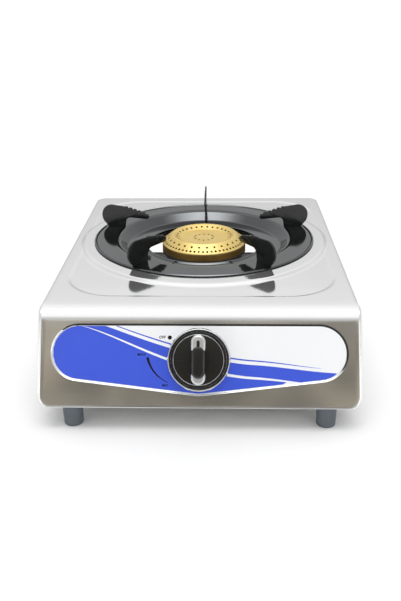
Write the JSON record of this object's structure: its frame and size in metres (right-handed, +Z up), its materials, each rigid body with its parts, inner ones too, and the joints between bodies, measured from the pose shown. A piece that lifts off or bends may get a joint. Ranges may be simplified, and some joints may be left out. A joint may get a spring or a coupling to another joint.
{
  "type": "tabletop gas stove",
  "caption": "Free-standing single-burner gas stove: pressed steel hob with a leaning front, control knob, brass burner cap, drip dish with prongs for a pan, rubber feet and a rear hose nozzle.",
  "frame": {"origin": "on the table, under the middle of the whole part's box", "axes": "+X to the right of a person facing the knob, +Y from the front to the back, +Z up"},
  "size_m": [0.3, 0.4474, 0.1377],
  "materials": {
    "stainless": "pressed and polished stainless sheet",
    "label_print": "printed and varnished label",
    "chrome_trim": "bright chrome plate",
    "black_plastic": "glossy moulded phenolic plastic",
    "valve_brass": "machined brass",
    "cap_brass": "machined and tumbled brass",
    "zinc_steel": "zinc plated steel",
    "cast_iron": "sand cast iron, painted",
    "dark_dish": "glossy dark coating on pressed steel",
    "black_enamel": "black vitreous enamel",
    "rubber_grey": "moulded grey rubber",
    "ceramic_white": "glazed white ceramic",
    "lead_sleeve": "silicone insulated lead",
    "igniter_plastic": "moulded matt plastic"
  },
  "bodies": {
    "stove_frame": {"hob_shell": "stainless", "control_label": "label_print", "knob_bezel": "chrome_trim", "valve_body": "valve_brass", "valve_bonnet": "zinc_steel", "valve_screws": "zinc_steel", "injector": "valve_brass", "gas_pipe": "zinc_steel", "pipe_nut": "valve_brass", "hose_nozzle": "valve_brass", "nozzle_nut": "valve_brass", "piezo_igniter": "igniter_plastic", "ignition_lead": "lead_sleeve", "electrode_bracket": "zinc_steel", "electrode_sleeve": "ceramic_white", "spark_electrode": "zinc_steel", "electrode_screw": "zinc_steel", "burner_body": "cast_iron", "burner_rail": "zinc_steel", "burner_screws": "zinc_steel", "rail_screws": "zinc_steel", "foot_front_left": "rubber_grey", "foot_front_right": "rubber_grey", "foot_back_left": "rubber_grey", "foot_back_right": "rubber_grey", "foot_screws": "zinc_steel", "foot_nuts": "zinc_steel"},
    "valve_plug": {"valve_plug": "valve_brass", "stem_spring": "zinc_steel"},
    "knob": {"knob": "black_plastic", "knob_ring": "chrome_trim", "grip_inserts": "chrome_trim", "valve_stem": "zinc_steel"},
    "air_shutter": {"air_shutter": "zinc_steel"},
    "pan_support": {"drip_dish": "dark_dish", "prong_1": "black_enamel", "prong_2": "black_enamel", "prong_3": "black_enamel", "prong_4": "black_enamel", "prong_5": "black_enamel"},
    "burner_cap": {"burner_cap": "cap_brass"}
  },
  "joints": [
    {"name": "knob_turn", "type": "hinge", "parent": "stove_frame", "child": "valve_plug", "pos_m": [0, -0.1924, 0.06429], "axis": [0, -0.8829, 0.4695], "range_deg": [0, 130]},
    {"name": "knob_push", "type": "slide", "parent": "valve_plug", "child": "knob", "axis": [0, 0.8829, -0.4695], "range_m": [0, 0.004], "stiffness_N_per_m": 1200, "springref_m": -0.002, "deforming": ["stem_spring"]},
    {"name": "air_shutter_turn", "type": "hinge", "parent": "stove_frame", "child": "air_shutter", "pos_m": [0, -0.16414, 0.04927], "axis": [0, 0.9862, 0.1657], "range_deg": [0, 70]},
    {"name": "pan_support_lift", "type": "slide", "parent": "stove_frame", "child": "pan_support", "axis": [0, 0, 1], "range_m": [0, 0.08]},
    {"name": "burner_cap_lift", "type": "slide", "parent": "stove_frame", "child": "burner_cap", "axis": [0, 0, 1], "range_m": [0, 0.04]}
  ]
}
